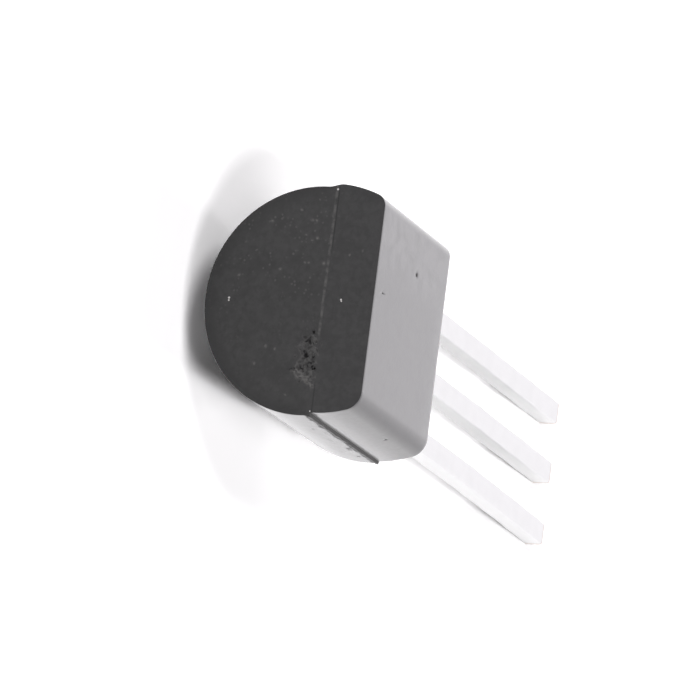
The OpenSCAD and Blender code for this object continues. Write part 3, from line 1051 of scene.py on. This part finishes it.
# %% Epoxy
def epoxy_material():
    """Satin black skin, grey and rough where torn, with pale grains of filler."""
    material, tree, shader, vector = new_material("epoxy")
    axes = node(tree, "ShaderNodeSeparateXYZ")
    put(tree, axes.inputs["Vector"], vector)
    x, y, z = axes.outputs
    on_end = ramp(tree, y, 0.2, 0.25, 1.0, 0.0)
    mottle = use_group(tree, GRAIN, vector=vector, size=0.13, low=0.3, high=0.7, detail=5.0)
    fine = use_group(tree, GRAIN, vector=vector, size=0.045, low=0.35, high=0.65, detail=6.0)
    torn = attribute(tree, "torn")
    holes = larger(tree, attribute(tree, "holes"), pinholes(tree, vector, y, z))
    broken = larger(tree, torn, holes)

    colour = resin_skin(tree, vector, x, z, mottle, fine)
    # painted shade towards the rear rim of the closed end
    colour = painted_rim_shade(tree, x, z, on_end, colour)
    colour = parting_line(tree, vector, x, z, on_end, colour)
    colour = torn_places(tree, vector, mottle, on_end, torn, holes, colour)
    put(tree, shader.inputs["Base Color"], colour)

    satin = blend_value(tree, mottle, 0.32, 0.36)
    put(tree, shader.inputs["Roughness"], larger(tree, satin, ramp(tree, broken, 0.2, 0.9, 0.0, 0.9)))
    put(tree, shader.inputs["Coat Weight"], skin_gloss(tree, vector, x, y, z, broken))
    for label, number in (("IOR", 1.46), ("Coat Roughness", 0.15), ("Coat IOR", 3.0),
                          ("Sheen Weight", 0.34), ("Sheen Roughness", 0.3)):
        put(tree, shader.inputs[label], number)
    add_bump(tree, shader, fine, 0.15)
    print(f"epoxy: {len(tree.nodes)} nodes")
    return material


body.data.materials.append(epoxy_material())

# %% [markdown]
# ### Tin plate, silicon, solder and gold
#
# The leads are copper alloy under about a hundredth of a millimetre of matt tin, which scatters light
# into a soft, pale sheen with faint streaks along each lead. The cropped tips show the metal inside.
# Silicon, solder and gold lie buried in the epoxy, and are finished for whoever lifts it off. One
# function makes all four, because only their colours and their roughness differ.

# %% Metals
def metal_material(name, low, high, rough, cut=None):
    """Metal whose colour and roughness wander between two values in streaks along y."""
    material, tree, shader, vector = new_material(name)
    streaks = use_group(tree, STREAKS, vector=vector, across=0.03, along=1.4)
    cloud = use_group(tree, GRAIN, vector=vector, size=0.5, low=0.3, high=0.7)
    colour = blend_colour(tree, product(tree, streaks, cloud), low, high)
    if cut is not None:
        colour = blend_colour(tree, attribute(tree, "cut"), colour, cut)
    put(tree, shader.inputs["Base Color"], colour)
    put(tree, shader.inputs["Roughness"], blend_value(tree, streaks, *rough))
    put(tree, shader.inputs["Metallic"], 1.0)
    add_bump(tree, shader, streaks, 0.2)
    print(f"{name}: {len(tree.nodes)} nodes")
    return material


tin = metal_material("tinned_lead", (0.91, 0.914, 0.91), (0.955, 0.959, 0.955), (0.35, 0.5),
                     cut=(0.72, 0.62, 0.55))
silicon = metal_material("silicon", (0.1, 0.105, 0.13), (0.17, 0.175, 0.2), (0.12, 0.25))
solder = metal_material("solder", (0.45, 0.45, 0.46), (0.6, 0.6, 0.6), (0.35, 0.6))
gold = metal_material("gold_wire", (0.95, 0.66, 0.25), (1.0, 0.76, 0.35), (0.15, 0.3))
for piece in leads:
    piece.data.materials.append(tin)
for name, finish in {"die": silicon, "die_attach": solder, "emitter_wire": gold, "base_wire": gold}.items():
    solid = frame["nodes"][name]
    solid.data.materials.clear()
    solid.data.materials.append(finish)

# %% [markdown]
# ## Floor
#
# The part lies on white paper that is lit until it is past white. More light would do that, but it
# would wash out the part as well. So the floor's colour is raised for the camera's own rays only,
# with Light Path, and stays plain white for light that bounces on to the part. The shadow keeps its
# shape, and paper fibre gives the floor a faint grain.

# %% Floor
FLOOR_HALF = 0.6
PAST_WHITE = 1.25
FIBRE_SIZE = 0.06 * MM
FIBRE_SHADE = 0.94

mesh = bpy.data.meshes.new("floor")
mesh.from_pydata([(side_x * FLOOR_HALF, side_y * FLOOR_HALF, 0)
                  for side_x, side_y in ((-1, -1), (1, -1), (1, 1), (-1, 1))], [], [(0, 1, 2, 3)])
floor = bpy.data.objects.new("floor", mesh)
bpy.context.scene.collection.objects.link(floor)
white = bpy.data.materials.new("white_floor")
white.use_nodes = True
tree = white.node_tree
paper = tree.nodes["Principled BSDF"]
seen = node(tree, "ShaderNodeLightPath").outputs["Is Camera Ray"]
over_floor = node(tree, "ShaderNodeTexCoord").outputs["Object"]
fibre = use_group(tree, GRAIN, vector=over_floor, size=FIBRE_SIZE, low=0.4, high=0.6)
bright = blend_value(tree, seen, 1.0, PAST_WHITE)
put(tree, paper.inputs["Base Color"], product(tree, bright, blend_value(tree, fibre, FIBRE_SHADE, 1.0)))
put(tree, paper.inputs["Roughness"], 1.0)
put(tree, paper.inputs["Specular IOR Level"], 0.0)
floor.data.materials.append(white)
print(f"floor: {2 * FLOOR_HALF} m square, {len(tree.nodes)} nodes")

# %% [markdown]
# ## Lamps
#
# The part throws a soft shadow that is deep close to the body and fades in faint lobes. One lamp
# can't cast that, so six do: three in front of the closed end, one high behind the lead tips, and two
# low ones, behind the tips and on the -x side, whose shadows are long and faint. Each is an ellipse,
# so the edge of its shadow is softer one way than the other. They stand behind the cloth of a light
# tent, so gloss doesn't show them. Together they light the floor a little above plain white.

# %% Lamps
LAMP_DISTANCE = 0.3
LAMP_COLOUR = (1.0, 0.985, 1.0)


def lamp(name, azimuth, elevation, turn, half_long, half_short, level):
    """An elliptical area lamp aimed at the origin; returns the light that it puts on the floor.
    Azimuth counts from -y towards +x, turn leans the long side, and the half sizes are angles seen
    from the part, all in degrees. Level is the share of full white that a surface facing it gets:
    an area lamp of power P at distance d lights a surface facing it like P / (pi^2 d^2) of white."""
    data = bpy.data.lights.new(name, "AREA")
    data.shape = "ELLIPSE"
    data.size = 2 * LAMP_DISTANCE * math.tan(math.radians(half_long))
    data.size_y = 2 * LAMP_DISTANCE * math.tan(math.radians(half_short))
    data.energy = level * math.pi**2 * LAMP_DISTANCE**2
    data.color = LAMP_COLOUR
    made = bpy.data.objects.new(name, data)
    a, e = math.radians(azimuth), math.radians(elevation)
    away = Vector((math.sin(a) * math.cos(e), -math.cos(a) * math.cos(e), math.sin(e)))
    aim = (-away).to_track_quat("-Z", "Y").to_matrix() @ Matrix.Rotation(math.radians(turn), 3, "Z")
    made.matrix_world = Matrix.Translation(away * LAMP_DISTANCE) @ aim.to_4x4()
    made.visible_camera = False
    made.visible_glossy = False
    bpy.context.scene.collection.objects.link(made)
    return level * math.sin(e)


on_floor = [lamp("front_left_lamp", -22, 44, 10, 4, 9, 0.44),
            lamp("front_lamp", 7, 40, -24, 3.5, 12, 0.12),
            lamp("front_right_lamp", 31, 51, -33, 3.5, 8.5, 0.41),
            lamp("back_right_lamp", 152, 46, -51, 24, 2.5, 0.32),
            lamp("back_low_lamp", 178, 13, 67, 10, 2.5, 0.68),
            lamp("left_low_lamp", 277, 13, -47, 18, 4, 0.36)]
print(f"light on the floor: {sum(on_floor):.2f} of plain white")

# %% [markdown]
# ## The tent
#
# The world is the white cloth of the tent. It shows to the camera and in gloss, where the flat and
# the sides of the body mirror it, but as a lamp it would fill the shadow. So its strength is 1 only
# for those rays. A glossy ray counts only before light has scattered from a matt surface.

# %% World
TENT_COLOUR = (0.99, 0.965, 1.0)
TENT_FILL = 0.01

world = bpy.data.worlds.new("tent")
bpy.context.scene.world = world
world.use_nodes = True
tree = world.node_tree
path = node(tree, "ShaderNodeLightPath").outputs
mirrored = math_node(tree, "SUBTRACT", path["Is Glossy Ray"], path["Diffuse Depth"], clamp=True)
shown = larger(tree, path["Is Camera Ray"], mirrored)
cloth = blend_colour(tree, path["Is Camera Ray"], TENT_COLOUR, grey(1.0))
put(tree, tree.nodes["Background"].inputs["Color"], cloth)
put(tree, tree.nodes["Background"].inputs["Strength"], blend_value(tree, shown, TENT_FILL, 1.0))
print(f"tent: {len(tree.nodes)} nodes")

# %% [markdown]
# ## Camera
#
# A long lens looks down at the closed end from a little to the +x side, and the camera is turned on
# its side, so that the leads run to the lower right. Angles are in degrees, lengths in millimetres,
# and the width is what the view spans at the part. Depth of field stays off.

# %% Camera
VIEW_AZIMUTH = 12.27
VIEW_ELEVATION = 28.24
VIEW_ROLL = 91.35
VIEW_DISTANCE = 161.0
VIEW_WIDTH = 13.554
AIM_OFFSET = (0.471, 0.917)
SENSOR_WIDTH = 36

a, e, roll = (math.radians(v) for v in (VIEW_AZIMUTH, VIEW_ELEVATION, VIEW_ROLL))
into = Vector((-math.sin(a) * math.cos(e), math.cos(a) * math.cos(e), -math.sin(e)))
level_right = into.cross(Vector((0, 0, 1))).normalized()
level_up = level_right.cross(into)
right = level_right * math.cos(roll) + level_up * math.sin(roll)
up = level_up * math.cos(roll) - level_right * math.sin(roll)
print("camera right", [round(v, 4) for v in right], "up", [round(v, 4) for v in up])
camera_data = bpy.data.cameras.new("camera")
camera_data.sensor_width = SENSOR_WIDTH
camera_data.lens = SENSOR_WIDTH * VIEW_DISTANCE / VIEW_WIDTH
camera_data.clip_start = 0.001
camera_data.clip_end = 10
camera = bpy.data.objects.new("camera", camera_data)
bpy.context.scene.collection.objects.link(camera)
target = Vector(ORIGIN_M) + (right * AIM_OFFSET[0] - up * AIM_OFFSET[1]) * MM
place = target - into * VIEW_DISTANCE * MM
turned = Matrix((right, up, -into)).transposed()
camera.matrix_world = Matrix.Translation(place) @ turned.to_4x4()
bpy.context.scene.camera = camera
bpy.context.scene.view_settings.view_transform = "Standard"
